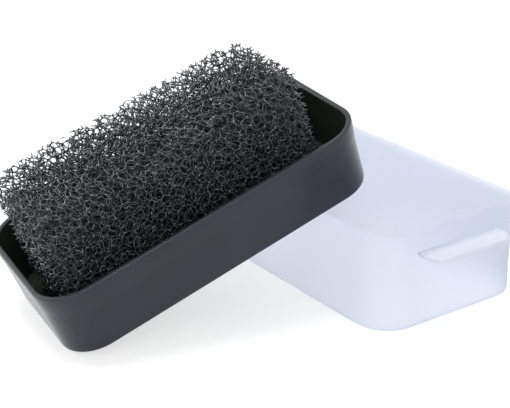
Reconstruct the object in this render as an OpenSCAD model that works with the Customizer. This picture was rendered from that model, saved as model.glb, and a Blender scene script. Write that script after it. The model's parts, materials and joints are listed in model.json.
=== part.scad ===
// Coarse foam block in a moulded tray, with its translucent cover taken off.
// The cover stands mouth down on the table. The tray leans on the cover's long
// top edge, with its lowest bottom corner on the table.
// X runs across the cover, Y along it, Z up. The origin is on the table, under
// the middle of the whole arrangement.

/* [Tray] */
// Length over the rim
tray_l = 100; // [85:1:130]
// Width over the rim
tray_w = 52; // [46:1:75]
// Height from the underside to the rim
tray_h = 20; // [15:0.5:28]
// Outside corner radius at the rim
tray_r = 12; // [9:0.5:16]
// Wall thickness
tray_wall = 1.3; // [1:0.1:2.2]
// Floor thickness
tray_floor = 1.6; // [1:0.1:3]
// Draft of the walls, in degrees
tray_draft = 2.5; // [1:0.25:4]
// Outside radius along the bottom edge
tray_edge_r = 1; // [0.4:0.1:1.6]
// How far the rim bead stands out of the wall
bead_out = 0.3; // [0.2:0.05:0.6]
// Height of the rim bead, of which the lower half slopes back to the wall
bead_h = 2; // [1.6:0.1:4]

/* [Cover] */
// Height from the mouth to the closed top
cover_h = 28.7; // [24:0.1:40]
// Wall thickness
cover_wall = 1.2; // [0.8:0.1:2]
// Thickness of the closed top
cover_top = 1.2; // [0.8:0.1:2]
// Draft of the walls, in degrees
cover_draft = 1; // [0.5:0.25:2]
// Outside radius along the top edge
cover_edge_r = 1; // [0.4:0.1:1.1]
// Gap on each side between the cover's mouth and the tray's rim
fit_gap = 0.3; // [0.1:0.05:0.6]
// How much smaller the cover's corner radius is than the tray's
corner_relief = 1.5; // [0:0.25:3]
// Depth at which the tray's rim meets the stop ring inside the cover
seat_depth = 5; // [3:0.5:8]
// How far the stop ring stands in from the wall
stop_in = 0.8; // [0.5:0.1:1.2]

/* [Finger tab] */
// Height of the tab's upper face above the mouth
tab_z = 22.2; // [14:0.1:23]
// How far the tab stands out of the end wall
tab_reach = 7.5; // [4:0.5:12]
// Thickness of the tab
tab_t = 1.2; // [0.8:0.1:2]
// Corner radius of the tab
tab_r = 4; // [1:0.5:4]
// Straight wall left on each side of the tab
tab_inset = 2; // [0.5:0.5:5]

/* [Foam block] */
// Gap between the block's low end and the tray's inner wall, at the floor
foam_gap_low = 3.6; // [2:0.1:10]
// Gap between the block's high end and the tray's inner wall, at the floor
foam_gap_high = 7.6; // [2:0.1:12]
// Gap between each long side of the block and the tray's inner wall, at the floor
foam_gap_side = 5.1; // [2:0.1:10]
// Gap between the block's top and the inside of the cover, with the cover on
foam_gap_top = 2.7; // [1:0.1:8]
// Radius of the upright edges
foam_r = 8; // [6:0.5:10]
// Radius along the top edge
foam_top_r = 5; // [2:0.5:5.5]

/* [Leaning pose] */
// Length of the tray past the cover's edge that it leans on
overhang = 22.4; // [12:0.2:30]
// Turn of the tray about its own upright, in degrees
turn = -7.5; // [-15:0.5:-1]
// Place of the tray along the cover's edge
tray_y = 1.6; // [-12:0.2:12]
// Gap between pieces that rest on each other
rest_gap = 0.2; // [0.1:0.05:0.3]

/* [Hidden] */
$fn = 96;
// Spare length of a cutting shape past the face that it cuts
cut_pad = 1;

// Outer face of the tray's wall, measured out from the corner centre, at height z
function tray_face(z) = tray_r - bead_out - (tray_h - z) * tan(tray_draft);
// Centre of the radius along the tray's bottom edge
tray_edge_u = tray_face(tray_edge_r) - tray_edge_r / cos(tray_draft);

cover_l = tray_l + 2 * (fit_gap + cover_wall);
cover_w = tray_w + 2 * (fit_gap + cover_wall);
cover_r = tray_r - corner_relief;
// Outer and inner faces of the cover's wall, measured out from the corner centre
function cover_face(z) = cover_r - z * tan(cover_draft);
function cover_inside(z) = cover_face(z) - cover_wall;
// Centre of the radius along the cover's top edge
cover_edge_z = cover_h - cover_edge_r;
cover_edge_u = cover_face(cover_edge_z) - cover_edge_r / cos(cover_draft);

tab_w = cover_w - 2 * cover_r - 2 * tab_inset;
tab_wall_y = cover_l / 2 - tab_z * tan(cover_draft);
tab_tip_y = tab_wall_y + tab_reach;
tab_root_y = tab_wall_y - cover_wall / 2;

// The block fills the tray's inside, less its gaps, up to the inside of the closed cover
foam_z = tray_floor + rest_gap;
foam_in = tray_r - tray_face(tray_floor) + tray_wall;
foam_l = tray_l - 2 * foam_in - foam_gap_low - foam_gap_high;
foam_w = tray_w - 2 * foam_in - 2 * foam_gap_side;
foam_h = tray_h - seat_depth + cover_h - cover_top - foam_gap_top - foam_z;
foam_shift = (foam_gap_low - foam_gap_high) / 2;

// Lowest corner of the tray, along the slope from the tray's middle
low_corner = -(tray_l / 2 - tray_r) * cos(turn) + (tray_w / 2 - tray_r) * sin(turn) - tray_edge_u;
// The lean follows from the distance along the slope between the corner on the
// table and the cover's edge, and from the height of that edge
slope_run = tray_l - overhang;
slope_pad = tray_edge_r + cover_edge_r + rest_gap;
slope_rise = cover_edge_z - tray_edge_r;
lean = atan2(slope_pad, slope_run) + asin(slope_rise / norm([slope_run, slope_pad]));
// Place of the middle of the tray's underside
tray_z = tray_edge_r * (1 - cos(lean)) - low_corner * sin(lean);
edge_x = -(cover_w / 2 - cover_r + cover_edge_u);
edge_pad = cover_edge_r + rest_gap;
tray_x = edge_x - edge_pad * sin(lean) - (slope_run + low_corner) * cos(lean);

// Left-hand reach of the leaning pieces: a rounded edge of radius r whose corner
// centre is u along the slope and z above the tray's underside
function left_reach(u, z, r) = tray_x + u * cos(lean) - z * sin(lean) - r;
rim_left = left_reach(low_corner + tray_edge_u - tray_r + bead_out, tray_h - bead_out, bead_out);
foam_corner = (foam_shift - foam_l / 2 + foam_r) * cos(turn) + (foam_w / 2 - foam_r) * sin(turn);
foam_left = left_reach(foam_corner - foam_r + foam_top_r, foam_z + foam_h - foam_top_r, foam_top_r);
// Middle of the whole arrangement, measured from the middle of the cover
middle_x = (min(rim_left, foam_left) + cover_w / 2) / 2;
middle_y = (cover_l / 2 - tab_tip_y) / 2;

// Moves a piece from the cover's own middle to its place about the origin
module placed() {
    translate([-middle_x, -middle_y, 0]) children();
}

module leaning() {
    placed() translate([tray_x, tray_y, tray_z]) rotate([0, -lean, 0]) rotate([0, 0, turn]) children();
}

// One profile carried round a rounded rectangle, l along X and w along Y: four corners and four sides
module sweep_round(l, w, r) {
    for (i = [0:3]) {
        along = i % 2 == 0 ? w / 2 - r : l / 2 - r;
        out = i % 2 == 0 ? l / 2 - r : w / 2 - r;
        rotate([0, 0, 90 * i]) translate([out, along, 0]) {
            rotate_extrude(angle = 90) children();
            rotate([90, 0, 0]) linear_extrude(2 * along) children();
        }
    }
}

// The plate that closes the middle of a swept shape
module middle_plate(l, w, r, low, high) {
    translate([r - l / 2, r - w / 2, low]) cube([l - 2 * r, w - 2 * r, high - low]);
}

// What is cut off a profile's corner to leave a radius; side is 1 at a top edge, -1 at a bottom edge
module edge_cut(u, z, r, draft, side) {
    reach = r + cut_pad;
    translate([u, z]) difference() {
        polygon([
            [0, 0],
            [reach * cos(draft), side * reach * sin(draft)],
            [reach, side * reach],
            [0, side * reach]
        ]);
        circle(r);
    }
}

module tray_profile() {
    top = tray_h;
    inside_top = tray_face(top) - tray_wall;
    bead_u = tray_r - bead_out;
    difference() {
        polygon([
            [0, 0],
            [tray_face(0), 0],
            [tray_face(top), top],
            [inside_top, top],
            [tray_face(tray_floor) - tray_wall, tray_floor],
            [0, tray_floor]
        ]);
        edge_cut(tray_edge_u, tray_edge_r, tray_edge_r, -tray_draft, -1);
    }
    // Rim bead: a slope out of the wall, a short upright face and a rounded upper edge
    polygon([
        [inside_top + tray_wall / 2, top - bead_h],
        [tray_face(top - bead_h), top - bead_h],
        [tray_r, top - bead_h / 2],
        [tray_r, top - bead_out],
        [bead_u, top],
        [inside_top + tray_wall / 2, top]
    ]);
    translate([bead_u, top - bead_out]) circle(bead_out);
}

module cover_profile() {
    under = cover_h - cover_top;
    stop_end = seat_depth + 2 * stop_in;
    difference() {
        polygon([
            [0, cover_h],
            [cover_face(cover_h), cover_h],
            [cover_face(0), 0],
            [cover_inside(0), 0],
            [cover_inside(seat_depth), seat_depth],
            [cover_inside(seat_depth) - stop_in, seat_depth],
            [cover_inside(stop_end), stop_end],
            [cover_inside(under), under],
            [0, under]
        ]);
        edge_cut(cover_edge_u, cover_edge_z, cover_edge_r, cover_draft, 1);
    }
}

module foam_profile() {
    shoulder = foam_h - foam_top_r;
    square([foam_r - foam_top_r, foam_h]);
    square([foam_r, shoulder]);
    translate([foam_r - foam_top_r, shoulder]) intersection() {
        circle(foam_top_r);
        square(foam_top_r);
    }
}

module finger_tab() {
    half = tab_w / 2;
    translate([0, 0, tab_z - tab_t]) linear_extrude(tab_t) {
        translate([-half, tab_r - tab_tip_y]) square([tab_w, tab_tip_y - tab_r - tab_root_y]);
        translate([tab_r - half, -tab_tip_y]) square([tab_w - 2 * tab_r, tab_r]);
        for (side = [-1, 1]) translate([side * (half - tab_r), tab_r - tab_tip_y]) circle(tab_r);
    }
}

module cover() {
    color([0.86, 0.89, 0.95, 0.8]) placed() {
        sweep_round(cover_w, cover_l, cover_r) cover_profile();
        middle_plate(cover_w, cover_l, cover_r, cover_h - cover_top, cover_h);
        finger_tab();
    }
}

module tray() {
    color([0.24, 0.25, 0.28]) leaning() {
        sweep_round(tray_l, tray_w, tray_r) tray_profile();
        middle_plate(tray_l, tray_w, tray_r, 0, tray_floor);
    }
}

module foam_block() {
    color([0.22, 0.24, 0.25]) leaning() translate([foam_shift, 0, foam_z]) {
        sweep_round(foam_l, foam_w, foam_r) foam_profile();
        middle_plate(foam_l, foam_w, foam_r, 0, foam_h);
    }
}

cover();
tray();
foam_block();
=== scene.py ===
"""Coarse foam block in a tray that leans on its milky cover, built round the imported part."""

import itertools
import json
import math

import bmesh
import bpy
import numpy as np
from bpy.props import (
    FloatProperty,
    FloatVectorProperty,
    IntProperty,
    PointerProperty,
)
from mathutils import Matrix, Vector
from mathutils.kdtree import KDTree


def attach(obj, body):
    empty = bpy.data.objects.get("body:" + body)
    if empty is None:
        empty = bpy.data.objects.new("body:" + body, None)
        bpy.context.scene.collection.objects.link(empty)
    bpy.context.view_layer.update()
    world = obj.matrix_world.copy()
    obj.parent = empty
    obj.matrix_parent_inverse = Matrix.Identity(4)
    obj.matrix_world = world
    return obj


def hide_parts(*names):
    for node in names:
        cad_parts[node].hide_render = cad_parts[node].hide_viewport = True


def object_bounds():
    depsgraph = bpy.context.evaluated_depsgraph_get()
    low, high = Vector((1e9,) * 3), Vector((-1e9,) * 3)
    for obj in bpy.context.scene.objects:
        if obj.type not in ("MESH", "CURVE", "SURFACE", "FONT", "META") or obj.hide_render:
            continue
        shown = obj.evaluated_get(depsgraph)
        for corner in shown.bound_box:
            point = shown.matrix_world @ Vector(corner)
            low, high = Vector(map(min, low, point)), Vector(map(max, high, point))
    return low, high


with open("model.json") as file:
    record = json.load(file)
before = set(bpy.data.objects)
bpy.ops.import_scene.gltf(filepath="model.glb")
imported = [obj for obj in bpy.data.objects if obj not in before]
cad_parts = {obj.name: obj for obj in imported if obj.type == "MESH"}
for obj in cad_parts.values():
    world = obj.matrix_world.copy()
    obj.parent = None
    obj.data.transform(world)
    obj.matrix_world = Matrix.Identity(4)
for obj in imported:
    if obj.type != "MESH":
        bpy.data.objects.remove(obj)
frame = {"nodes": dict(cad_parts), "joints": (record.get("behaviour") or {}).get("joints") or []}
CAD_LOW, CAD_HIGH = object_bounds()

bl_info = {
    "name": "Foam tray with cover",
    "version": (1, 0, 0),
    "blender": (4, 5, 0),
    "location": "3D View > Sidebar > Foam tray",
    "description": "Builds a foam block in its tray, the cover that it leans on and a plain studio",
    "category": "Object",
}

# Width of the picture that the focal length is given for, in pixels
PICTURE_WIDTH = 510
MM = 0.001
QUARTER_TURN = math.pi / 2
WHITE = (1.0, 1.0, 1.0, 1.0)
# Points closer together than this become one, in metres
MERGE = 1e-6

# Steps of each round corner of the tray and the cover
CORNER_STEPS = 16
# Where the tray's wall starts and stops swelling out to the rim, in bead heights below the rim
SWELL_START = 3.75
SWELL_END = 0.25
SWELL_STEPS = 6
# Rounding of the cover's mouth as a share of its wall, and under its top as a share of its top edge
LIP_SHARE = 0.25
INNER_SHARE = 0.6
# Faces whose normal points up by more than this are level
LEVEL = 0.5
# Edges that bend by more than this are softened
SHARP = math.radians(60)

# Ends of the ramps from one tone to the other
PLASTIC_RAMP = (0.35, 0.65)
# On the foam the pale tone is painted glints: only the top of the noise reaches it
FOAM_RAMP = (0.54, 0.70)
# Scale of the spots of painted glints on the foam
GLINT_SCALE = 1000.0

# Pieces that the foam is made in, so that no piece holds too many triangles
FOAM_PIECES = 10
# The six films round a foam node, each between two of its four cells
FILMS = list(itertools.combinations(range(4), 2))
# Size of the box of foam that repeats, and how far round it copies of its cells count, in cells
TILE_CELLS = (15, 8, 8)
COPY_CELLS = 2.5
# Foam made round the block before it is cut, in cells
MARGIN_CELLS = 2
# How many cells are looked at round each one, and how many are worked out at a time
NEAR_CELLS = 26
CHUNK_CELLS = 120
# Error allowed between distances that should agree, as a share of a cell squared
SLACK = 1e-9
# Rounds in which the foam settles, and the share of the way that each round goes
SETTLE_ROUNDS = 4
SETTLE_PULL = 0.35
# Slow waves that hide the repeat of the box: how many, their lengths and their sway, in mm
DRIFT_WAVES = 4
DRIFT_LENGTHS = (18, 40)
DRIFT_SWAY = 0.35
# Share of a knot corner's distance that lies across a strut, where four struts meet evenly
EVEN_SHARE = math.sqrt(2 / 3)
# Most that a knot takes up of its shortest strut
KNOT_SHARE = 0.6
# What is left of a cut strut: its share where no cut is found, what chance adds, and the limits
STUB_SHARE = 0.6
STUB_CHANCE = 0.35
STUB_LIMITS = (0.35, 0.95)
# Size of a cut end as a share of the strut's
TIP_SHARE = 0.9

# Each lamp's name, the setting of its power, its place and its width, in metres
LAMPS = (
    ("Overhead", "key", (-0.2, 0.15, 0.75), 0.25),
    ("Back", "back", (-0.3, 0.8, 0.4), 0.4),
    ("Front", "front", (0.1, -0.8, 0.4), 0.5),
    ("Left", "left", (-0.65, -0.4, 0.2), 0.5),
)
# Nearest and farthest that the camera sees, in metres
CAMERA_CLIP = (0.01, 20.0)
# Half the floor's width, and how far it lies under the pieces, in metres
FLOOR_HALF = 4.0
FLOOR_DROP = 0.1 * MM


def length(name, description, default):
    """A length, with its default in millimetres."""
    return FloatProperty(
        name=name, description=description, default=default * MM,
        min=0.0, unit="LENGTH", subtype="DISTANCE", precision=5,
    )


def angle(name, description, default):
    """An angle, with its default in degrees."""
    return FloatProperty(
        name=name, description=description, default=math.radians(default),
        unit="ROTATION", subtype="ANGLE",
    )


def colour(name, description, default):
    """A colour without its alpha."""
    return FloatVectorProperty(
        name=name, description=description, default=default,
        size=3, min=0.0, max=1.0, subtype="COLOR",
    )


def share(name, description, default):
    """A share between 0 and 1."""
    return FloatProperty(
        name=name, description=description, default=default, min=0.0, max=1.0, subtype="FACTOR",
    )


def amount(name, description, default, unit="NONE"):
    """A number from 0 up, which may have a unit."""
    return FloatProperty(name=name, description=description, default=default, min=0.0, unit=unit)


class TraySettings(bpy.types.PropertyGroup):
    """Sizes and colours of the black tray"""

    turn: angle("Turn", "Turn of the tray about its own upright", -7.5)
    corner: length("Corner radius", "Outside corner radius at the rim", 12)
    wall: length("Wall", "Thickness of the walls", 1.3)
    floor: length("Floor", "Thickness of the floor", 1.6)
    draft: angle("Draft", "Lean of the walls", 2.5)
    edge: length("Bottom edge radius", "Outside radius along the bottom edge", 1)
    inner_edge: length("Inner radius", "Radius between the floor and the walls", 1)
    bead_out: length("Bead", "How far the rim bead stands out of the wall", 0.3)
    bead_height: length("Bead height", "Height of the rim bead", 2)
    rim_edge: length("Rim edge radius", "Radius along the inner edge of the rim", 0.45)
    plastic: colour("Plastic", "Black plastic", (0.017, 0.019, 0.025))
    bloom: colour("Bloom", "Faint grey bloom on the plastic", (0.021, 0.023, 0.032))
    # Painted shade: a greenish copy of the black plastic for the inner faces, without sheen and
    # with less specular, so that the inside of the tray renders darker
    inside: colour("Inside", "Black plastic inside, without bloom", (0.022, 0.030, 0.024))
    shaded_inside_bloom: colour("Inside clouds", "Paler clouds inside", (0.026, 0.034, 0.028))


class CoverSettings(bpy.types.PropertyGroup):
    """Sizes and colours of the milky cover"""

    length: length("Length", "Length of the mouth, without the finger tab", 103)
    corner: length("Corner radius", "Outside corner radius at the mouth", 10.5)
    wall: length("Wall", "Thickness of the walls", 1.2)
    top: length("Top", "Thickness of the closed top", 1.2)
    draft: angle("Draft", "Lean of the walls", 1)
    edge: length("Top edge radius", "Outside radius along the top edge", 1)
    seat: length("Seat depth", "Depth of the stop ring inside the mouth", 5)
    stop: length("Stop ring", "How far the stop ring stands in from the wall", 0.8)
    tab_top: length("Tab height", "Height of the finger tab's upper face", 22.2)
    tab_reach: length("Tab reach", "How far the finger tab stands out of the end wall", 7.5)
    tab_width: length("Tab width", "Width of the finger tab", 30)
    tab_thickness: length("Tab thickness", "Thickness of the finger tab", 1.2)
    tab_corner: length("Tab corner", "Corner radius of the finger tab", 4)
    tab_edge: length("Tab edge", "Rounding along the finger tab's edges", 0.3)
    milk: share("Milk", "Share of the light that goes through the walls", 0.98)
    tab_milk: share("Tab milk", "Share of the light that goes through the finger tab", 0.5)
    plastic: colour("Plastic", "Milky plastic", (0.792, 0.818, 0.874))
    # Painted light: the tab is paler and bluer than the cover's plastic, for the light on its upper
    # face
    tab: colour("Tab", "Paler plastic of the finger tab", (0.92, 0.95, 1.0))
    cloud: colour("Cloud", "Cooler clouds in the plastic", (0.778, 0.808, 0.869))


class FoamSettings(bpy.types.PropertyGroup):
    """Sizes and colours of the foam block"""

    corner: length("Corner radius", "Radius of the upright edges", 8)
    top_edge: length("Top edge radius", "Radius along the top edge", 5)
    cell: length("Cell", "Repeat of the cells", 3.5)
    strut: length("Strut", "Reach of a strut's three corners, half way along it", 0.16)
    knot: length("Knot", "Reach of a strut's three corners, where it meets others", 0.233)
    flare: share("Flare", "Share of a strut's length over which each end widens", 0.35)
    ragged: length("Ragged", "How unevenly the block is cut", 0.7)
    jitter: share("Jitter", "How far cells stray from an even grid", 0.19)
    seed: IntProperty(
        name="Seed", description="Start of the cells' random places", default=11, min=0,
    )
    # Below this depth the coat and the painted glints are gone, and only the painted inside tone is
    # left
    fade: length("Fade", "Depth at which struts are fully dull", 7)
    struts: colour("Struts", "Charcoal struts", (0.024, 0.030, 0.036))
    # Painted glints: pale spots on the struts near the block's surface
    painted_glints: colour("Painted glints", "Paler struts", (0.26, 0.30, 0.34))
    # Painted light: deep in the block the struts take this even tone, lighter than their charcoal,
    # in place of the shade there
    inside: colour("Inside", "Even tone of the struts deep in the block", (0.075, 0.088, 0.096))


class StudioSettings(bpy.types.PropertyGroup):
    """Camera and light"""

    camera: FloatVectorProperty(
        name="Camera", description="Place of the camera, from the middle of the cover's mouth",
        default=(-0.233306, -0.274037, 0.162205), unit="LENGTH", subtype="TRANSLATION", precision=5,
    )
    heading: angle("Heading", "Turn of the view from +Y towards +X", 36.266)
    pitch: angle("Pitch", "How far the view looks down", 22.269)
    roll: angle("Roll", "Turn of the view about its own axis", 0.608)
    focal: amount("Focal length", "Focal length in pixels of the picture", 1258.57)
    floor: colour("Floor", "Pale floor", (0.87, 0.87, 0.87))
    lift: share("Lift", "Share of plain white in the floor, only where it is looked at", 0.40)
    white: amount("White", "Strength of the floor's plain white", 1.55)
    world: amount("World", "Strength of the light from all round", 0.66)
    key: amount("Key", "Power of the soft lamp overhead", 2.6, "POWER")
    back: amount("Back", "Power of the soft lamp behind", 2.2, "POWER")
    front: amount("Front", "Power of the soft lamp in front", 0.55, "POWER")
    left: amount("Left", "Power of the soft lamp on the left", 1.0, "POWER")


def own_box(name, axes):
    """Lowest and highest corner of a CAD node along its own axes."""
    mesh = frame["nodes"][name].data
    points = np.empty(len(mesh.vertices) * 3)
    mesh.vertices.foreach_get("co", points)
    own = points.reshape(-1, 3) @ np.array(axes)
    return Vector(own.min(0)), Vector(own.max(0))


def stand(name, axes):
    """A node's size along its own axes, and the matrix that moves a piece from the origin there."""
    low, high = own_box(name, axes)
    base = Vector(((low.x + high.x) / 2, (low.y + high.y) / 2, low.z))
    return high - low, Matrix.Translation(axes @ base) @ axes.to_4x4()


def cover_stand(cover):
    """The cover's size without its finger tab, and the middle of its mouth."""
    low, high = own_box("cover", Matrix.Identity(3))
    size = Vector((high.x - low.x, cover.length, high.z))
    return size, Vector((low.x + high.x, 2 * high.y - size.y, 0)) / 2


def tray_axes(turn):
    """The tray's own axes in the shared frame, from the way that it lifts."""
    up = Vector(next(j["axis"] for j in frame["joints"] if j["name"] == "tray_lift")).normalized()
    lean = math.atan2(-up.x, up.z)
    return Matrix.Rotation(-lean, 3, "Y") @ Matrix.Rotation(turn, 3, "Z")


def arc(centre, radius, start, end, steps):
    """Points of an arc in a profile, from one angle to another in degrees."""
    turns = [math.radians(start + (end - start) * i / steps) for i in range(steps + 1)]
    return [(centre[0] + radius * math.cos(t), centre[1] + radius * math.sin(t)) for t in turns]


def sweep_round(profile, size, radius):
    """A profile carried round a rounded rectangle: four drawn-out sides and four spun corners."""
    bm = bmesh.new()
    half = Vector((size.x / 2 - radius, size.y / 2 - radius))
    verts = [bm.verts.new((half.x + out, -half.y, up)) for out, up in profile]
    edges = [bm.edges.new(pair) for pair in itertools.pairwise(verts)]
    for side, (right, back) in enumerate(((1, 1), (-1, 1), (-1, -1), (1, -1))):
        run = 2 * (half.y if side % 2 == 0 else half.x)
        quarter = Matrix.Rotation(QUARTER_TURN * side, 3, "Z")
        drawn = bmesh.ops.extrude_edge_only(bm, edges=edges)["geom"]
        moved = [v for v in drawn if isinstance(v, bmesh.types.BMVert)]
        bmesh.ops.translate(bm, verts=moved, vec=quarter @ Vector((0, run, 0)))
        ends = [
            e for e in drawn if isinstance(e, bmesh.types.BMEdge) and set(e.verts) <= set(moved)
        ]
        spun = bmesh.ops.spin(
            bm, geom=moved + ends, cent=(right * half.x, back * half.y, 0), axis=(0, 0, 1),
            dvec=(0, 0, 0), angle=QUARTER_TURN, steps=CORNER_STEPS, use_merge=False,
        )
        edges = [e for e in spun["geom_last"] if isinstance(e, bmesh.types.BMEdge)]
    bmesh.ops.remove_doubles(bm, verts=bm.verts, dist=MERGE)
    # Each end of the profile leaves a four-sided hole in the middle
    bmesh.ops.holes_fill(bm, edges=[e for e in bm.edges if e.is_boundary], sides=4)
    return bm


def put_in_scene(name, bm, place, material):
    """A finished piece at the origin, with its place in its mesh."""
    bmesh.ops.transform(bm, matrix=place, verts=bm.verts)
    bmesh.ops.recalc_face_normals(bm, faces=bm.faces)
    for face in bm.faces:
        face.smooth = True
    mesh = bpy.data.meshes.new(name)
    bm.to_mesh(mesh)
    bm.free()
    return link_piece(name, mesh, material)


def link_piece(name, mesh, material):
    """A new object in the scene, with its mesh and its material."""
    mesh.materials.append(material)
    piece = bpy.data.objects.new(name, mesh)
    bpy.context.scene.collection.objects.link(piece)
    return piece


def even_shading(piece):
    """Keeps flat faces flat beside their rounded edges."""
    shading = piece.modifiers.new("Even shading", "WEIGHTED_NORMAL")
    shading.weight = 100
    shading.keep_sharp = True


def rgba(values):
    """A colour with full alpha."""
    return (*values, 1.0)


def node(tree, kind, label, values=None, **options):
    """A new shader node with its options and its unlinked inputs set."""
    made = tree.nodes.new(kind)
    made.label = label
    for option, value in options.items():
        setattr(made, option, value)
    for socket, value in (values or {}).items():
        made.inputs[socket].default_value = value
    return made


def new_material(name, **constants):
    """A material, its tree and its Principled shader, with the shader's plain values set."""
    material = bpy.data.materials.new(name)
    material.use_nodes = True
    shader = next(n for n in material.node_tree.nodes if n.type == "BSDF_PRINCIPLED")
    for socket, value in constants.items():
        shader.inputs[socket.replace("_", " ")].default_value = value
    return material, material.node_tree, shader


def moulded_grain():
    """Group: soft clouds, a fine moulding grain and thin flow streaks on a plastic piece."""
    if "Moulded grain" in bpy.data.node_groups:
        return bpy.data.node_groups["Moulded grain"]
    tree = bpy.data.node_groups.new("Moulded grain", "ShaderNodeTree")
    for name, default in (("Cloud scale", 60.0), ("Grain scale", 2500.0), ("Streak", 0.3)):
        socket = tree.interface.new_socket(name=name, in_out="INPUT", socket_type="NodeSocketFloat")
        socket.default_value = default
    for name in ("Clouds", "Grain"):
        tree.interface.new_socket(name=name, in_out="OUTPUT", socket_type="NodeSocketFloat")
    given = node(tree, "NodeGroupInput", "Given")
    made = node(tree, "NodeGroupOutput", "Made")
    where = node(tree, "ShaderNodeTexCoord", "Place on the piece")
    clouds = node(tree, "ShaderNodeTexNoise", "Clouds", {"Detail": 3.0, "Roughness": 0.55})
    grain = node(tree, "ShaderNodeTexNoise", "Grain", {"Detail": 2.0, "Roughness": 0.6})
    stretch = node(tree, "ShaderNodeMapping", "Flow", {"Scale": (1.0, 6.0, 0.5)})
    streaks = node(tree, "ShaderNodeTexNoise", "Streaks", {"Detail": 2.0, "Roughness": 0.5})
    mixed = node(tree, "ShaderNodeMix", "Clouds and streaks", data_type="FLOAT")
    links = tree.links
    links.new(where.outputs["Object"], clouds.inputs["Vector"])
    links.new(where.outputs["Object"], grain.inputs["Vector"])
    links.new(where.outputs["Object"], stretch.inputs["Vector"])
    links.new(stretch.outputs["Vector"], streaks.inputs["Vector"])
    links.new(given.outputs["Cloud scale"], clouds.inputs["Scale"])
    links.new(given.outputs["Cloud scale"], streaks.inputs["Scale"])
    links.new(given.outputs["Grain scale"], grain.inputs["Scale"])
    links.new(given.outputs["Streak"], mixed.inputs["Factor"])
    links.new(clouds.outputs["Fac"], mixed.inputs["A"])
    links.new(streaks.outputs["Fac"], mixed.inputs["B"])
    links.new(mixed.outputs["Result"], made.inputs["Clouds"])
    links.new(grain.outputs["Fac"], made.inputs["Grain"])
    return tree


def tone_ramp(tree, tones, ends, interpolation):
    """A ramp from one tone to another between two ends."""
    ramp = node(tree, "ShaderNodeValToRGB", "Tones")
    ramp.color_ramp.interpolation = interpolation
    for element, end, tone in zip(ramp.color_ramp.elements, ends, tones):
        element.position = end
        element.color = rgba(tone)
    return ramp


def grained_plastic(name, tones, roughness, bump, clouds, streak, **constants):
    """A moulded plastic whose colour, gloss and surface follow the moulded grain."""
    material, tree, shader = new_material(name, **constants)
    grain = node(
        tree, "ShaderNodeGroup", "Moulded grain", {"Cloud scale": clouds, "Streak": streak},
        node_tree=moulded_grain(),
    )
    ramp = tone_ramp(tree, tones, PLASTIC_RAMP, "EASE")
    gloss = node(
        tree, "ShaderNodeMapRange", "Gloss",
        {"From Min": 0.3, "From Max": 0.7, "To Min": roughness[0], "To Max": roughness[1]},
        interpolation_type="SMOOTHSTEP",
    )
    raised = node(tree, "ShaderNodeBump", "Grain", {"Strength": 0.25, "Distance": bump * MM})
    links = tree.links
    links.new(grain.outputs["Clouds"], ramp.inputs["Fac"])
    links.new(grain.outputs["Clouds"], gloss.inputs["Value"])
    links.new(grain.outputs["Grain"], raised.inputs["Height"])
    links.new(ramp.outputs["Color"], shader.inputs["Base Color"])
    links.new(gloss.outputs["Result"], shader.inputs["Roughness"])
    links.new(raised.outputs["Normal"], shader.inputs["Normal"])
    return material


def milky_plastic(name, tones, milk):
    """A frosted plastic that lets a share of the light through."""
    return grained_plastic(
        name, tones, roughness=(0.75, 0.85), bump=0.01, clouds=30.0, streak=0.5,
        Transmission_Weight=milk, IOR=1.25,
    )


def foam_material(foam):
    """Foam struts: shiny with painted glints near the block's surface, dull inside in an even tone
    painted lighter than their shade.
    """
    material, tree, shader = new_material(
        "Charcoal foam", Roughness=0.5, Specular_IOR_Level=0.25, Coat_Roughness=0.12, Coat_IOR=1.6,
    )
    where = node(tree, "ShaderNodeTexCoord", "Place on the piece")
    glint_spots = node(
        tree, "ShaderNodeTexNoise", "Painted glint spots",
        {"Scale": GLINT_SCALE, "Detail": 4.0, "Roughness": 0.6},
    )
    # Painted glints: pale spots where the noise is high
    ramp = tone_ramp(tree, (foam.struts, foam.painted_glints), FOAM_RAMP, "LINEAR")
    depth = node(tree, "ShaderNodeAttribute", "Depth in the block", attribute_name="depth")
    outer = node(
        tree, "ShaderNodeMapRange", "Near the surface",
        {"From Min": 0.0, "From Max": foam.fade, "To Min": 1.0, "To Max": 0.0},
    )
    # Painted light: towards the inside the painted glints give way to the even, lighter inside
    # tone, which stands in for the shade deep in the block
    tones = node(tree, "ShaderNodeMix", "Painted even tone inside", {"A": rgba(foam.inside)}, data_type="RGBA")
    links = tree.links
    links.new(where.outputs["Object"], glint_spots.inputs["Vector"])
    links.new(glint_spots.outputs["Fac"], ramp.inputs["Fac"])
    links.new(depth.outputs["Fac"], outer.inputs["Value"])
    links.new(outer.outputs["Result"], tones.inputs["Factor"])
    links.new(ramp.outputs["Color"], tones.inputs["B"])
    links.new(tones.outputs["Result"], shader.inputs["Base Color"])
    links.new(outer.outputs["Result"], shader.inputs["Coat Weight"])
    return material


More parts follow.
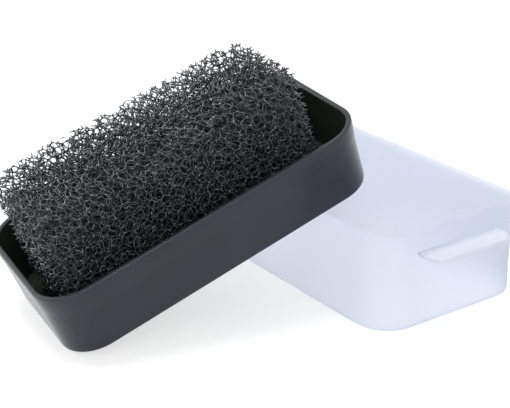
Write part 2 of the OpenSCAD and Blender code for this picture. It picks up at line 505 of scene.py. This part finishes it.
def tray_profile(tray, height):
    """The tray's section, from its underside's middle round the rim to its floor's middle."""
    slope = math.tan(tray.draft)
    lean = math.degrees(tray.draft)

    def face(up):
        """The wall's outer face at a height, from the middle of the corner."""
        return tray.corner - tray.bead_out - (height - up) * slope

    def swell(part):
        """A point on the soft swell from the wall to the rim."""
        up = height - tray.bead_height * (SWELL_START + (SWELL_END - SWELL_START) * part)
        out = tray.corner - face(up)
        return (face(up) + out * part * part * (3 - 2 * part), up)

    edge_out = face(tray.edge) - tray.edge / math.cos(tray.draft)
    bead_out = tray.corner - tray.bead_out
    inside = face(height) - tray.wall
    rim = tray.rim_edge
    inner = tray.inner_edge
    inner_out = face(tray.floor + inner) - tray.wall - inner / math.cos(tray.draft)
    return [
        (0.0, 0.0),
        *arc((edge_out, tray.edge), tray.edge, -90, -lean, steps=6),
        *(swell(i / SWELL_STEPS) for i in range(SWELL_STEPS + 1)),
        *arc((bead_out, height - tray.bead_out), tray.bead_out, 0, 90, steps=4),
        *arc((inside + rim, height - rim), rim, 90, 180 - lean, steps=3),
        *arc((inner_out, tray.floor + inner), inner, -lean, -90, steps=5),
        (0.0, tray.floor),
    ]


def cover_profile(cover, height):
    """The cover's section, from its top's middle round the mouth to the inside of its top."""
    slope = math.tan(cover.draft)
    lean = math.degrees(cover.draft)

    def face(up):
        """The wall's outer face at a height, from the middle of the corner."""
        return cover.corner - up * slope

    def inside(up):
        """The wall's inner face at a height."""
        return face(up) - cover.wall

    edge_up = height - cover.edge
    edge_out = face(edge_up) - cover.edge / math.cos(cover.draft)
    lip = LIP_SHARE * cover.wall
    under = height - cover.top
    stop_end = cover.seat + 2 * cover.stop
    inner = INNER_SHARE * cover.edge
    return [
        (0.0, height),
        *arc((edge_out, edge_up), cover.edge, 90, lean, steps=6),
        *arc((face(0) - lip, lip), lip, 0, -90, steps=3),
        *arc((inside(0) + lip, lip), lip, -90, -180, steps=3),
        (inside(cover.seat), cover.seat),
        (inside(cover.seat) - cover.stop, cover.seat),
        (inside(stop_end), stop_end),
        *arc((inside(under) - inner, under - inner), inner, lean, 90, steps=4),
        (0.0, under),
    ]


class FOAMTRAY_OT_tray(bpy.types.Operator):
    """Build the black tray"""

    bl_idname = "foam_tray.tray"
    bl_label = "Tray"

    def execute(self, context):
        tray = context.scene.foam_tray
        size, place = stand("tray", tray_axes(tray.turn))
        grain = {"roughness": (0.285, 0.32), "bump": 0.012, "clouds": 45.0, "streak": 0.4}
        plastic = grained_plastic(
            "Black moulded plastic", (tray.plastic, tray.bloom), **grain, Specular_IOR_Level=0.4,
            Specular_Tint=(0.83, 0.89, 1.0, 1.0), Sheen_Weight=0.4, Sheen_Roughness=0.3,
        )
        # Painted shade: a copy of the plastic without sheen and with less specular, darker on the
        # inner faces
        inside = grained_plastic(
            "Black moulded plastic, inside", (tray.inside, tray.shaded_inside_bloom), **grain,
            Specular_IOR_Level=0.2,
        )
        walls = sweep_round(tray_profile(tray, size.z), size, tray.corner)
        self.mark_shaded_inside(walls, size.z)
        shell = put_in_scene("tray_shell", walls, place, plastic)
        shell.data.materials.append(inside)
        even_shading(shell)
        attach(shell, "tray")
        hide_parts("tray")
        return {"FINISHED"}

    def mark_shaded_inside(self, bm, height):
        """Gives the walls' inner faces and the floor's upper face the second material, the copy
        painted as shade.
        """
        bmesh.ops.recalc_face_normals(bm, faces=bm.faces)
        for face in bm.faces:
            middle = face.calc_center_median()
            inward = face.normal.xy.dot(middle.xy) < 0
            floor = face.normal.z > LEVEL and middle.z < height / 2
            face.material_index = int(inward or floor)


class FOAMTRAY_OT_cover(bpy.types.Operator):
    """Build the milky cover with its finger tab"""

    bl_idname = "foam_tray.cover"
    bl_label = "Cover"

    def execute(self, context):
        cover = context.scene.foam_cover
        size, mouth = cover_stand(cover)
        place = Matrix.Translation(mouth)
        thin = milky_plastic("Milky plastic, thin", (cover.cloud, cover.plastic), cover.milk)
        # Painted light: the tab's copy of the plastic is paler and bluer than the walls, and lets
        # less light through
        solid = milky_plastic("Milky plastic, solid", (cover.plastic, cover.tab), cover.tab_milk)
        walls = sweep_round(cover_profile(cover, size.z), size, cover.corner)
        for piece in (
            put_in_scene("cover_shell", walls, place, thin),
            put_in_scene("cover_tab", self.tab(cover, size), place, solid),
        ):
            even_shading(piece)
            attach(piece, "cover")
            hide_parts("cover")
        return {"FINISHED"}

    def tab(self, cover, size):
        """A flat tongue on the end wall, with round corners and softened edges."""
        bm = bmesh.new()
        wall = -(size.y / 2 - cover.tab_top * math.tan(cover.draft))
        root = wall + cover.wall / 2
        tip = wall - cover.tab_reach
        half = cover.tab_width / 2
        low = cover.tab_top - cover.tab_thickness
        outline = ((-half, root), (-half, tip), (half, tip), (half, root))
        corners = [bm.verts.new((x, y, low)) for x, y in outline]
        bm.faces.new(corners)
        bmesh.ops.bevel(
            bm, geom=corners[1:3], offset=cover.tab_corner, segments=8, profile=0.5,
            affect="VERTICES", material=-1,
        )
        raised = bmesh.ops.extrude_face_region(bm, geom=bm.faces[:])["geom"]
        tops = [v for v in raised if isinstance(v, bmesh.types.BMVert)]
        bmesh.ops.translate(bm, verts=tops, vec=(0, 0, cover.tab_thickness))
        bmesh.ops.bevel(
            bm, geom=[e for e in bm.edges if e.calc_face_angle(0) > SHARP],
            offset=cover.tab_edge, segments=3, profile=0.5, affect="EDGES", material=-1,
        )
        return bm


def foam_seeds(foam, tile):
    """Cells' middles in a box that repeats: a body-centred grid, each point moved a little."""
    rng = np.random.default_rng(foam.seed)
    counts = np.round(tile / foam.cell).astype(int)
    grid = np.stack(np.meshgrid(*map(np.arange, counts), indexing="ij"), -1).reshape(-1, 3)
    seeds = np.concatenate([grid, grid + 0.5])
    seeds = seeds + rng.normal(0.0, foam.jitter, seeds.shape)
    return (seeds % counts) * (tile / counts)


def foam_nodes(seeds, tile, cell):
    """Points where four cells meet: their places, and their cells as numbers and box shifts."""
    shifts = np.array(list(itertools.product((-1, 0, 1), repeat=3)))
    copies = (seeds[None] + shifts[:, None] * tile).reshape(-1, 3)
    cells = np.tile(np.arange(len(seeds)), len(shifts))
    moved = np.repeat(shifts, len(seeds), 0)
    margin = COPY_CELLS * cell
    close = ((copies > -margin) & (copies < tile + margin)).all(1)
    copies, cells, moved = copies[close], cells[close], moved[close]
    tree = KDTree(len(copies))
    for i, place in enumerate(copies):
        tree.insert(place, i)
    tree.balance()
    round_each = np.array([[i for _, i, _ in tree.find_n(p, NEAR_CELLS + 1)][1:] for p in seeds])
    triples = np.array(list(itertools.combinations(range(NEAR_CELLS), 3)))
    places, numbers, offsets = [], [], []
    for start in range(0, len(seeds), CHUNK_CELLS):
        rows = round_each[start:start + CHUNK_CELLS]
        spokes = copies[rows] - seeds[start:start + CHUNK_CELLS, None]
        lengths = (spokes ** 2).sum(-1)
        # The point as far from a cell's middle as from those of three others, for each three
        q, r, s = (spokes[:, triples[:, k]] for k in range(3))
        q2, r2, s2 = (lengths[:, triples[:, k], None] for k in range(3))
        rs = np.cross(r, s)
        volume = 2 * (q * rs).sum(-1, keepdims=True)
        with np.errstate(divide="ignore", invalid="ignore"):
            middle = (q2 * rs + r2 * np.cross(s, q) + s2 * np.cross(q, r)) / volume
        # It is a node if no other cell's middle is nearer
        reach = (middle ** 2).sum(-1)
        row, pick = np.nonzero(reach < cell ** 2)
        middle = middle[row, pick]
        room = lengths[row] - 2 * np.einsum("nkc,nc->nk", spokes[row], middle)
        empty = (room > -SLACK * cell ** 2).all(1)
        row, pick, middle = row[empty], pick[empty], middle[empty]
        others = rows[row][np.arange(len(row))[:, None], triples[pick]]
        # Each node is kept once, by the lowest number among its cells
        first = start + row
        lowest = (cells[others] > first[:, None]).all(1)
        first, others = first[lowest], others[lowest]
        places.append(seeds[first] + middle[lowest])
        numbers.append(np.column_stack([first, cells[others]]))
        offsets.append(np.concatenate([np.zeros((len(first), 1, 3), int), moved[others]], 1))
    places, numbers, offsets = map(np.concatenate, (places, numbers, offsets))
    order = np.argsort(numbers, 1)
    numbers = np.take_along_axis(numbers, order, 1)
    offsets = np.take_along_axis(offsets, order[:, :, None], 1)
    home = np.floor(places / tile).astype(int)
    return places - home * tile, numbers, offsets - home[:, None]


def foam_links(numbers, offsets):
    """For each strut of a node: the other node, its box shift and the strut's number there."""
    count = len(numbers)
    keys, owners, sides, bases = [], [], [], []
    for left_out in range(4):
        kept = [k for k in range(4) if k != left_out]
        ids, moves = numbers[:, kept], offsets[:, kept]
        apart = (moves[:, 1:] - moves[:, :1]).reshape(count, 6)
        keys.append(np.column_stack([ids, apart]))
        owners.append(np.arange(count))
        sides.append(np.full(count, left_out))
        bases.append(moves[:, 0])
    keys, owners, sides, bases = map(np.concatenate, (keys, owners, sides, bases))
    order = np.lexsort(keys.T[::-1])
    same = (keys[order][1:] == keys[order][:-1]).all(1)
    one, two = order[:-1][same], order[1:][same]
    ends = np.full((count, 4), -1)
    jumps = np.zeros((count, 4, 3), int)
    slots = np.zeros((count, 4), int)
    for a, b in ((one, two), (two, one)):
        ends[owners[a], sides[a]] = owners[b]
        jumps[owners[a], sides[a]] = bases[a] - bases[b]
        slots[owners[a], sides[a]] = sides[b]
    return ends, jumps, slots


def relax(places, ends, jumps, tile):
    """Evens out the struts' lengths, as a settled foam does."""
    for _ in range(SETTLE_ROUNDS):
        others = places[ends] + jumps * tile
        mean = np.where((ends >= 0)[:, :, None], others, places[:, None]).mean(1)
        places = places + SETTLE_PULL * (mean - places)
    return places


def block_distance(points, size, foam):
    """How far points are outside the block, which stands on its own base: below zero inside it."""
    flat = np.abs(points[:, :2]) - np.array(size[:2]) / 2 + foam.corner
    side = np.linalg.norm(np.maximum(flat, 0), axis=1) + np.minimum(flat.max(1), 0) - foam.corner
    over = points[:, 2] - size[2]
    edge = np.column_stack([side, over]) + foam.top_edge
    top = np.linalg.norm(np.maximum(edge, 0), axis=1) + np.minimum(edge.max(1), 0) - foam.top_edge
    return np.maximum(top, -points[:, 2])


def drift(points, seed):
    """Moves points along a few slow waves, so that the repeat of the box doesn't show."""
    rng = np.random.default_rng(seed)
    for _ in range(DRIFT_WAVES):
        wave = rng.normal(0, 1, 3)
        wave *= 2 * math.pi / (rng.uniform(*DRIFT_LENGTHS) * MM) / np.linalg.norm(wave)
        sway = DRIFT_SWAY * MM * rng.normal(0, 1, 3)
        points = points + sway * np.sin(points @ wave + rng.uniform(0, 2 * math.pi))[:, None]
    return points


def block_nodes(foam, size):
    """Nodes round the block: their places, each strut's other node and the strut's number there."""
    tile = np.array(TILE_CELLS) * foam.cell
    places, numbers, offsets = foam_nodes(foam_seeds(foam, tile), tile, foam.cell)
    ends, jumps, sides = foam_links(numbers, offsets)
    places = relax(places, ends, jumps, tile)
    margin = MARGIN_CELLS * foam.cell
    low = np.array([-size.x / 2, -size.y / 2, 0]) - margin
    counts = np.ceil((np.array(size) + 2 * margin) / tile).astype(int)
    boxes = np.array(list(itertools.product(*map(range, counts))))
    points = (places[None] + boxes[:, None] * tile).reshape(-1, 3) + low
    aims = boxes[:, None, None] + jumps[None]
    real = ((aims >= 0) & (aims < counts)).all(-1) & (ends >= 0)[None]
    aimed = np.ravel_multi_index(np.moveaxis(aims.clip(0, counts - 1), -1, 0), counts)
    others = np.where(real, aimed * len(places) + ends[None], -1).reshape(-1, 4)
    sides = np.broadcast_to(sides, (len(boxes), len(places), 4)).reshape(-1, 4)
    return drift(points, foam.seed + 1), others, sides


class StrutMesh:
    """Points and triangles of the struts, kept as they are made."""

    def __init__(self):
        self.points = []
        self.triangles = []
        self.homes = []
        self.count = 0

    def add_points(self, points):
        """Keeps points, given in rows, and returns their numbers in the same rows."""
        rows = points.shape[:-1]
        numbers = self.count + np.arange(np.prod(rows, dtype=int)).reshape(rows)
        self.points.append(points.reshape(-1, 3))
        self.count += numbers.size
        return numbers

    def add_faces(self, faces, home):
        """Keeps faces and the number of the piece that each is in."""
        self.triangles.append(faces)
        self.homes.append(home)

    def add_tube(self, near, far, home):
        """Three-sided walls between two rings."""
        for k in range(3):
            a, b = near[:, k], near[:, (k + 1) % 3]
            d, c = far[:, k], far[:, (k + 1) % 3]
            self.add_faces(np.column_stack([a, b, c]), home)
            self.add_faces(np.column_stack([a, c, d]), home)


def film_ring(left_out):
    """The three films round the strut that one cell doesn't touch."""
    cells = [k for k in range(4) if k != left_out]
    return [FILMS.index(pair) for pair in itertools.combinations(cells, 2)]


def strut_hands(spokes):
    """Which way round the films lie about each strut, seen from this end."""
    edges = spokes[:, :3] - spokes[:, 3:]
    turned = np.sign((np.cross(edges[:, 0], edges[:, 1]) * edges[:, 2]).sum(1))
    return turned[:, None] * np.array([1, -1, 1, -1])


def knot_corners(foam, spokes, reach):
    """Six corners of each knot, from its middle: one in every film between two struts."""
    thick = np.minimum(foam.knot / EVEN_SHARE, KNOT_SHARE * reach.min(1))
    films = np.empty((len(spokes), len(FILMS), 3))
    for k, pair in enumerate(FILMS):
        lean = sum(spokes[:, cell] for cell in range(4) if cell not in pair)
        films[:, k] = thick * lean / np.linalg.norm(lean, axis=1, keepdims=True)
    return films


def foam_struts(foam, size):
    """Points and triangles of the block's struts, and the number of each triangle's piece."""
    points, others, sides = block_nodes(foam, size)
    outside = block_distance(points, size, foam)
    rng = np.random.default_rng(foam.seed + 2)
    ragged = rng.uniform(-1, 0, len(points)) * foam.ragged
    rows = np.flatnonzero((outside < ragged) & (others >= 0).all(1))
    number = np.full(len(points), -1)
    number[rows] = np.arange(len(rows))
    here, others, sides = points[rows], others[rows], sides[rows]
    seams = np.quantile(here[:, 0], np.linspace(0, 1, FOAM_PIECES + 1)[1:-1])
    piece = np.searchsorted(seams, here[:, 0])
    spokes = points[others] - here[:, None]
    reach = np.linalg.norm(spokes, axis=2, keepdims=True)
    spokes = spokes / reach
    hand = strut_hands(spokes)
    films = knot_corners(foam, spokes, reach)
    rings = np.array([film_ring(left_out) for left_out in range(4)])
    mesh = StrutMesh()
    corners = mesh.add_points(here[:, None] + films)
    for cell in range(4):
        mesh.add_faces(corners[:, [k for k, pair in enumerate(FILMS) if cell in pair]], piece)
    for left_out in range(4):
        ring = rings[left_out]
        along = spokes[:, left_out]
        across = films[:, ring] - (films[:, ring] @ along[:, :, None]) * along[:, None]
        across /= np.linalg.norm(across, axis=2, keepdims=True)
        far = others[:, left_out]
        back, side = number[far], sides[:, left_out]
        joined = (back >= 0) & (others[back, side] == rows)
        joined &= hand[back, side] == -hand[:, left_out]
        # Whole struts, each made once and thinner half way along
        own = np.flatnonzero(joined & (rows < far))
        end = number[far[own]]
        run = reach[own, left_out] * along[own]
        thin = foam.strut * across[own]
        near_waist = mesh.add_points((here[own] + foam.flare * run)[:, None] + thin)
        far_waist = mesh.add_points((here[own] + (1 - foam.flare) * run)[:, None] + thin)
        far_corners = np.take_along_axis(corners[end], rings[side[own]], 1)
        mesh.add_tube(corners[own][:, ring], near_waist, piece[own])
        mesh.add_tube(near_waist, far_waist, piece[own])
        mesh.add_tube(far_waist, far_corners, piece[own])
        # A strut that runs into the next piece is closed there, and so is the knot beyond
        split = piece[own] != piece[end]
        mesh.add_faces(far_corners[split], piece[own][split])
        mesh.add_faces(far_corners[split], piece[end][split])
        # Struts that end where the block was cut
        cut = np.flatnonzero(~joined)
        inside, beyond = outside[rows[cut]], outside[far[cut]]
        part = np.where(beyond > 0, inside / (inside - beyond), STUB_SHARE)
        part = (part + rng.uniform(0, STUB_CHANCE, len(cut))).clip(*STUB_LIMITS)
        tip = here[cut] + part[:, None] * reach[cut, left_out] * along[cut]
        cut_end = mesh.add_points(tip[:, None] + TIP_SHARE * foam.strut * across[cut])
        mesh.add_tube(corners[cut][:, ring], cut_end, piece[cut])
        mesh.add_faces(cut_end, piece[cut])
    points, triangles, homes = map(np.concatenate, (mesh.points, mesh.triangles, mesh.homes))
    # The block is cut flat where it stands
    points[:, 2] = np.maximum(points[:, 2], 0.0)
    return points, triangles, homes


def triangle_mesh(name, points, triangles):
    """A smooth mesh from numbered triangles, turned to look outwards, and its points' numbers."""
    used, numbers = np.unique(triangles, return_inverse=True)
    numbers = numbers.reshape(-1)
    mesh = bpy.data.meshes.new(name)
    mesh.vertices.add(len(used))
    mesh.vertices.foreach_set("co", points[used].astype(np.float32).ravel())
    mesh.loops.add(len(numbers))
    mesh.loops.foreach_set("vertex_index", numbers.astype(np.int32))
    mesh.polygons.add(len(triangles))
    mesh.polygons.foreach_set("loop_start", np.arange(0, len(numbers), 3, dtype=np.int32))
    mesh.update(calc_edges=True)
    bm = bmesh.new()
    bm.from_mesh(mesh)
    bmesh.ops.recalc_face_normals(bm, faces=bm.faces)
    bm.to_mesh(mesh)
    bm.free()
    mesh.shade_smooth()
    return mesh, used


def bake_map(mesh, flat):
    """Lays the mesh out flat by its places, so that its pattern bakes in one pass."""
    corner = np.empty(len(mesh.loops), np.int32)
    mesh.loops.foreach_get("vertex_index", corner)
    spread = (flat - flat.min(0)) / np.ptp(flat, axis=0)
    layer = mesh.uv_layers.new(name="OFBake", do_init=False)
    layer.uv.foreach_set("vector", spread[corner].astype(np.float32).ravel())


def keep_depth(mesh, depth):
    """Keeps how deep in the block each point lies, for the material."""
    layer = mesh.attributes.new("depth", "FLOAT", "POINT")
    layer.data.foreach_set("value", depth.astype(np.float32))


class FOAMTRAY_OT_foam(bpy.types.Operator):
    """Build the open-cell foam block"""

    bl_idname = "foam_tray.foam"
    bl_label = "Foam block"

    def execute(self, context):
        foam = context.scene.foam_block
        size, place = stand("foam_block", tray_axes(context.scene.foam_tray.turn))
        charcoal = foam_material(foam)
        points, triangles, homes = foam_struts(foam, size)
        depth = np.maximum(-block_distance(points, size, foam), 0.0)
        points = points @ np.array(place.to_3x3()).T + np.array(place.translation)
        for number in range(FOAM_PIECES):
            name = f"foam_struts_{number + 1}"
            mesh, used = triangle_mesh(name, points, triangles[homes == number])
            bake_map(mesh, points[used][:, 1:])
            keep_depth(mesh, depth[used])
            struts = link_piece(name, mesh, charcoal)
            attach(struts, "foam")
            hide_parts("foam_block")
        return {"FINISHED"}


class FOAMTRAY_OT_studio(bpy.types.Operator):
    """Set the floor, the light and the camera"""

    bl_idname = "foam_tray.studio"
    bl_label = "Studio"

    def execute(self, context):
        studio = context.scene.foam_studio
        self.floor(studio)
        self.world(context.scene, studio)
        aim = Vector((0, 0, CAD_HIGH[2] / 2))
        for name, setting, place, width in LAMPS:
            self.lamp(name, getattr(studio, setting), Vector(place), aim, width)
        self.camera(context.scene, studio)
        context.scene.view_settings.view_transform = "Standard"
        return {"FINISHED"}

    def camera(self, scene, studio):
        """The camera, placed from the middle of the cover's mouth."""
        data = bpy.data.cameras.new("Camera")
        data.sensor_fit = "HORIZONTAL"
        data.lens = data.sensor_width * studio.focal / PICTURE_WIDTH
        data.clip_start, data.clip_end = CAMERA_CLIP
        camera = bpy.data.objects.new("Camera", data)
        _, mouth = cover_stand(scene.foam_cover)
        camera.matrix_world = (
            Matrix.Translation(mouth + Vector(studio.camera))
            @ Matrix.Rotation(-studio.heading, 4, "Z")
            @ Matrix.Rotation(QUARTER_TURN - studio.pitch, 4, "X")
            @ Matrix.Rotation(studio.roll, 4, "Z")
        )
        scene.collection.objects.link(camera)
        scene.camera = camera

    def lamp(self, name, power, place, aim, width):
        """A soft round lamp that the camera doesn't see."""
        data = bpy.data.lights.new(name, "AREA")
        data.shape = "DISK"
        data.size = width
        data.energy = power
        lamp = bpy.data.objects.new(name, data)
        lamp.visible_camera = False
        lamp.matrix_world = (
            Matrix.Translation(place) @ (aim - place).to_track_quat("-Z", "Y").to_matrix().to_4x4()
        )
        bpy.context.scene.collection.objects.link(lamp)

    def floor(self, studio):
        """A pale floor that keeps the shadow and is lifted to white only where it is looked at."""
        bm = bmesh.new()
        bmesh.ops.create_grid(bm, x_segments=1, y_segments=1, size=FLOOR_HALF)
        material, tree, shader = new_material("Pale floor", Roughness=0.9, Specular_IOR_Level=0.0)
        shader.inputs["Base Color"].default_value = rgba(studio.floor)
        output = next(n for n in tree.nodes if n.type == "OUTPUT_MATERIAL")
        white = node(tree, "ShaderNodeEmission", "White", {"Strength": studio.white})
        lifted = node(
            tree, "ShaderNodeMath", "Share of white", {1: studio.lift}, operation="MULTIPLY",
        )
        mixed = node(tree, "ShaderNodeMixShader", "Shadow and white")
        tree.links.new(self.looked_at(tree), lifted.inputs[0])
        tree.links.new(lifted.outputs["Value"], mixed.inputs["Fac"])
        tree.links.new(shader.outputs["BSDF"], mixed.inputs[1])
        tree.links.new(white.outputs["Emission"], mixed.inputs[2])
        tree.links.new(mixed.outputs["Shader"], output.inputs["Surface"])
        floor = put_in_scene("floor", bm, Matrix.Translation((0, 0, -FLOOR_DROP)), material)

    def looked_at(self, tree):
        """Socket that is 1 where the camera looks: straight, by reflection or through a piece."""
        path = node(tree, "ShaderNodeLightPath", "What looks")
        glossy = node(tree, "ShaderNodeMath", "Camera or glossy", operation="MAXIMUM")
        seen = node(tree, "ShaderNodeMath", "Or through", operation="MAXIMUM")
        tree.links.new(path.outputs["Is Camera Ray"], glossy.inputs[0])
        tree.links.new(path.outputs["Is Glossy Ray"], glossy.inputs[1])
        tree.links.new(glossy.outputs["Value"], seen.inputs[0])
        tree.links.new(path.outputs["Is Transmission Ray"], seen.inputs[1])
        return seen.outputs["Value"]

    def world(self, scene, studio):
        """Even light from all round, and a plain white backdrop."""
        world = bpy.data.worlds.new("Studio")
        world.use_nodes = True
        tree = world.node_tree
        output = next(n for n in tree.nodes if n.type == "OUTPUT_WORLD")
        light = next(n for n in tree.nodes if n.type == "BACKGROUND")
        light.inputs["Color"].default_value = WHITE
        light.inputs["Strength"].default_value = studio.world
        white = node(
            tree, "ShaderNodeBackground", "White backdrop", {"Color": WHITE, "Strength": 1.0},
        )
        mixed = node(tree, "ShaderNodeMixShader", "Light or backdrop")
        tree.links.new(self.looked_at(tree), mixed.inputs["Fac"])
        tree.links.new(light.outputs["Background"], mixed.inputs[1])
        tree.links.new(white.outputs["Background"], mixed.inputs[2])
        tree.links.new(mixed.outputs["Shader"], output.inputs["Surface"])
        scene.world = world


class FOAMTRAY_PT_main(bpy.types.Panel):
    """Lists the pieces that can be built"""

    bl_label = "Foam tray"
    bl_idname = "FOAMTRAY_PT_main"
    bl_space_type = "VIEW_3D"
    bl_region_type = "UI"
    bl_category = "Foam tray"

    def draw(self, context):
        for operator, settings in STEPS:
            box = self.layout.box()
            box.operator(operator.bl_idname)
            group = getattr(context.scene, settings)
            for name in group.__annotations__:
                box.prop(group, name)


SETTINGS = {
    "foam_tray": TraySettings,
    "foam_cover": CoverSettings,
    "foam_block": FoamSettings,
    "foam_studio": StudioSettings,
}
STEPS = (
    (FOAMTRAY_OT_tray, "foam_tray"),
    (FOAMTRAY_OT_cover, "foam_cover"),
    (FOAMTRAY_OT_foam, "foam_block"),
    (FOAMTRAY_OT_studio, "foam_studio"),
)
CLASSES = (*SETTINGS.values(), *(step[0] for step in STEPS), FOAMTRAY_PT_main)


def register():
    for cls in CLASSES:
        bpy.utils.register_class(cls)
    for name, group in SETTINGS.items():
        setattr(bpy.types.Scene, name, PointerProperty(type=group))


def unregister():
    for name in SETTINGS:
        delattr(bpy.types.Scene, name)
    for cls in reversed(CLASSES):
        bpy.utils.unregister_class(cls)


def main():
    register()
    bpy.ops.foam_tray.tray()
    bpy.ops.foam_tray.cover()
    bpy.ops.foam_tray.foam()
    bpy.ops.foam_tray.studio()


if __name__ == "__main__":
    main()
